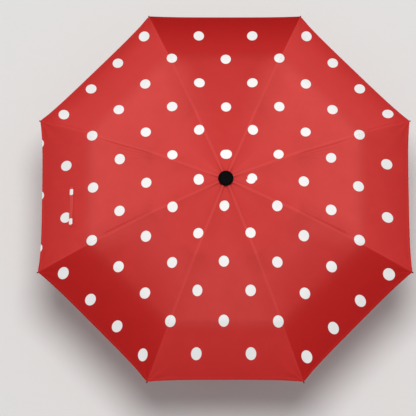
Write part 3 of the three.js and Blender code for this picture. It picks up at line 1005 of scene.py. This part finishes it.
strap_cloth = pongee(
    "red_strap_pongee",
    (0.610, 0.060, 0.054),
    (0.580, 0.052, 0.047),
    (STRAP_SPOTS[0] - STRAP_SPOTS[1]) / math.sqrt(2.0),
    0.0068,
)
rows, columns = 46, 9
top, under, plan = [], [], []
for i in range(rows):
    t = i / (rows - 1)
    y = STRAP_TOP + (STRAP_END - STRAP_TOP) * t
    sway = 0.0004 * math.sin(t * 4.2)
    lift = 0.0004 + 0.0010 * math.sin(math.pi * min(1.0, max(0.0, (t - 0.1) / 0.9)) * 0.5) ** 2
    lift += 0.0003 * math.sin(t * 11.0)
    if t < 0.12:
        lift = 0.0003
    end_round = min(1.0, (rows - 1 - i) / 3.0)
    half = STRAP_HALF * math.sqrt(1.0 - (1.0 - end_round) ** 2 * 0.5)
    for j in range(columns):
        c = -1.0 + 2.0 * j / (columns - 1)
        x = STRAP_X + sway + half * c
        p, normal = gore_point(4, x, y)
        thick = 0.00050 * (1.0 - abs(c) ** 5 * 0.8)
        ridge = 0.00012 * math.exp(-(((abs(c) - 0.72) / 0.12) ** 2))
        top.append(p + normal * (lift + 0.00055 + thick - ridge))
        under.append(p + normal * (lift + 0.00055 - thick))
        plan.append((half * c, STRAP_SPOTS[0] - y))
verts = top + under
faces = []
count = rows * columns
for i in range(rows - 1):
    for j in range(columns - 1):
        a = i * columns + j
        quad = (a, a + columns, a + columns + 1, a + 1)
        faces.append(quad)
        faces.append(tuple(v + count for v in reversed(quad)))
rim = [j for j in range(columns)]
rim += [i * columns + columns - 1 for i in range(1, rows)]
rim += [(rows - 1) * columns + j for j in range(columns - 2, -1, -1)]
rim += [i * columns for i in range(rows - 2, 0, -1)]
for i, a in enumerate(rim):
    b = rim[(i + 1) % len(rim)]
    faces.append((a, b, b + count, a + count))
strap = piece_from("strap", verts, faces, strap_cloth, 60.0)
layer = strap.data.uv_layers.new(name="cut")
slant = math.sqrt(0.5)
step = (STRAP_SPOTS[0] - STRAP_SPOTS[1]) / math.sqrt(2.0)
for loop, place_in in zip(strap.data.loops, layer.uv):
    across_it, along_it = plan[loop.vertex_index % count]
    place_in.vector = (0.5 + step + (along_it + across_it) * slant, 0.5 + (along_it - across_it) * slant)
# the strap gets one fixed, lighter tone all over, in the same layer that holds the gores' painted light and shade
layer = strap.data.attributes.new(name="tone_and_painted_shade", type="FLOAT_COLOR", domain="POINT")
for colour in layer.data:
    colour.color = (1.08, 1.14, 1.14, 1.0)
rib, across, anchor = fold_axis(4, 1, OUTER_KNEE, TIP)
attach(strap, "outer_rib_5")
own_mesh(strap)
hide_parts("tie_strap")

# ---------------------------------------------------------------------------
# Cap. A low button of matt black plastic, screwed down over the hole where the
# gores meet; it clamps them to the crown. Its top is nearly flat and its edge
# is well rounded.
CAP_RADIUS = 0.0164
cap_low = CROWN_Z + 0.00572

cap_matt, tree, shader = material_named("matt_black_cap", (0.002, 0.002, 0.002), 0.8)
shader.inputs["Specular IOR Level"].default_value = 0.04
fine = noise(tree, place(tree), 1500.0, 3.0, 0.6)
dusty = noise(tree, place(tree), 110.0, 4.0, 0.6)
two_tone(tree, shader, dusty, (0.0012, 0.0012, 0.0012), (0.003, 0.003, 0.003))
tree.links.new(spread(tree, dusty, 0.66, 0.80), shader.inputs["Roughness"])
bumped(tree, shader, fine, 0.15, 0.0001)

profile = [
    (0.0, CROWN_Z + 0.0094),
    (0.0044, CROWN_Z + 0.0094),
    (0.0044, cap_low + 0.0024),
    (CAP_RADIUS - 0.0012, cap_low - 0.0001),
    (CAP_RADIUS - 0.0004, cap_low + 0.0002),
    (CAP_RADIUS, cap_low + 0.0009),
]
for i in range(1, 17):
    t = i / 16 * math.pi / 2
    profile.append((CAP_RADIUS * math.cos(t) ** 0.45, cap_low + 0.0009 + 0.0058 * math.sin(t) ** 0.8))
profile[-1] = (0.0, cap_low + 0.0067)
cap = piece_from("cap", *lathe(profile, 72, closed=True), cap_matt, 45.0)
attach(cap, "upper_tube")
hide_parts("top_cap")

# ---------------------------------------------------------------------------
# Table and light. The umbrella stands on its handle over a plain pale floor,
# under a broad soft light and a pale room.
floor_mesh = bpy.data.meshes.new("floor")
reach = 14.0
floor_mesh.from_pydata(
    [(-reach, -reach, -0.001), (reach, -reach, -0.001), (reach, reach, -0.001), (-reach, reach, -0.001)],
    [],
    [(0, 1, 2, 3)],
)
floor = bpy.data.objects.new("floor", floor_mesh)
bpy.context.collection.objects.link(floor)
paper, tree, shader = material_named("pale_floor", (0.80, 0.80, 0.79), 0.85)
floor_mesh.materials.append(paper)


def softbox(name, place_at, aim, size, power, colour=(1.0, 1.0, 1.0)):
    light = bpy.data.lights.new(name, "AREA")
    light.shape = "DISK"
    light.size = size
    light.energy = power
    light.color = colour
    stand = bpy.data.objects.new(name, light)
    stand.location = place_at
    direction = Vector(aim) - Vector(place_at)
    stand.rotation_euler = direction.to_track_quat("-Z", "Y").to_euler()
    stand.visible_camera = False
    bpy.context.collection.objects.link(stand)
    return stand


softbox("overhead_softbox", (0.0, 0.45, 4.1), (0.0, 0.0, 0.4), 1.5, 108.0, (1.0, 0.985, 0.97))

room = bpy.data.worlds.new("room")
room.use_nodes = True
room.node_tree.nodes["Background"].inputs["Color"].default_value = (0.96, 0.98, 1.0, 1.0)
room.node_tree.nodes["Background"].inputs["Strength"].default_value = 0.36
bpy.context.scene.world = room
bpy.context.scene.view_settings.view_transform = "Standard"
